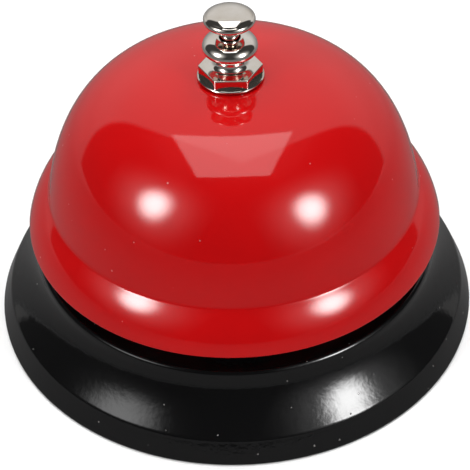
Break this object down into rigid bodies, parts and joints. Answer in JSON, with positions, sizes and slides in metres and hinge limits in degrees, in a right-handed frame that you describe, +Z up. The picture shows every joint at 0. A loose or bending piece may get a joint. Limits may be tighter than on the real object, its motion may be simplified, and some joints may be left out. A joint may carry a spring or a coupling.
{
  "type": "desk call bell",
  "caption": "Counter call bell with a push button on top of a flared steel gong over a round flared base; pressing the button swings a hidden hammer.",
  "frame": {"origin": "centre of the circle that the bell stands on", "axes": "+Z up along the button's axis; the hidden hammer lies along +X; a flat of the top nut faces -Y"},
  "size_m": [0.0842, 0.0842, 0.0595],
  "materials": {
    "red_enamel": "high-gloss red stoving enamel on steel",
    "black_enamel": "gloss black stoving enamel on steel",
    "bright_nickel": "bright nickel plating",
    "zinc_steel": "zinc-plated steel",
    "spring_steel": "drawn spring wire",
    "brass": "turned brass",
    "red_fibre": "vulcanised fibre washer",
    "rubber": "matt black rubber"
  },
  "bodies": {
    "bell": {"base_shell": "black_enamel", "non_slip_ring": "rubber", "bridge_bracket": "zinc_steel", "bracket_rivet_1": "zinc_steel", "bracket_rivet_2": "zinc_steel", "bracket_rivet_3": "zinc_steel", "bracket_rivet_4": "zinc_steel", "center_post": "zinc_steel", "post_washer": "zinc_steel", "post_lock_nut": "zinc_steel", "gong_support_nut": "zinc_steel", "steel_washer": "zinc_steel", "gong_washer": "red_fibre", "gong": "red_enamel", "finial_nut": "bright_nickel", "pivot_pin": "zinc_steel", "pin_clip": "spring_steel", "return_spring": "spring_steel"},
    "plunger": {"push_button": "bright_nickel", "plunger_rod": "bright_nickel", "rod_collar": "brass"},
    "hammer": {"hammer_arm": "zinc_steel", "hammer_slug": "brass"}
  },
  "joints": [
    {"name": "button_press", "type": "slide", "parent": "bell", "child": "plunger", "axis": [0, 0, -1], "range_m": [0, 0.0023], "stiffness_N_per_m": 350, "springref_m": -0.003, "deforming": ["return_spring"]},
    {"name": "hammer_swing", "type": "hinge", "parent": "bell", "child": "hammer", "pos_m": [0.0055, 0, 0.021], "axis": [0, -1, 0], "range_deg": [0, 24]}
  ],
  "couplings": [
    {"joint": "hammer_swing", "follows": "button_press", "rad_per_m": 182}
  ]
}
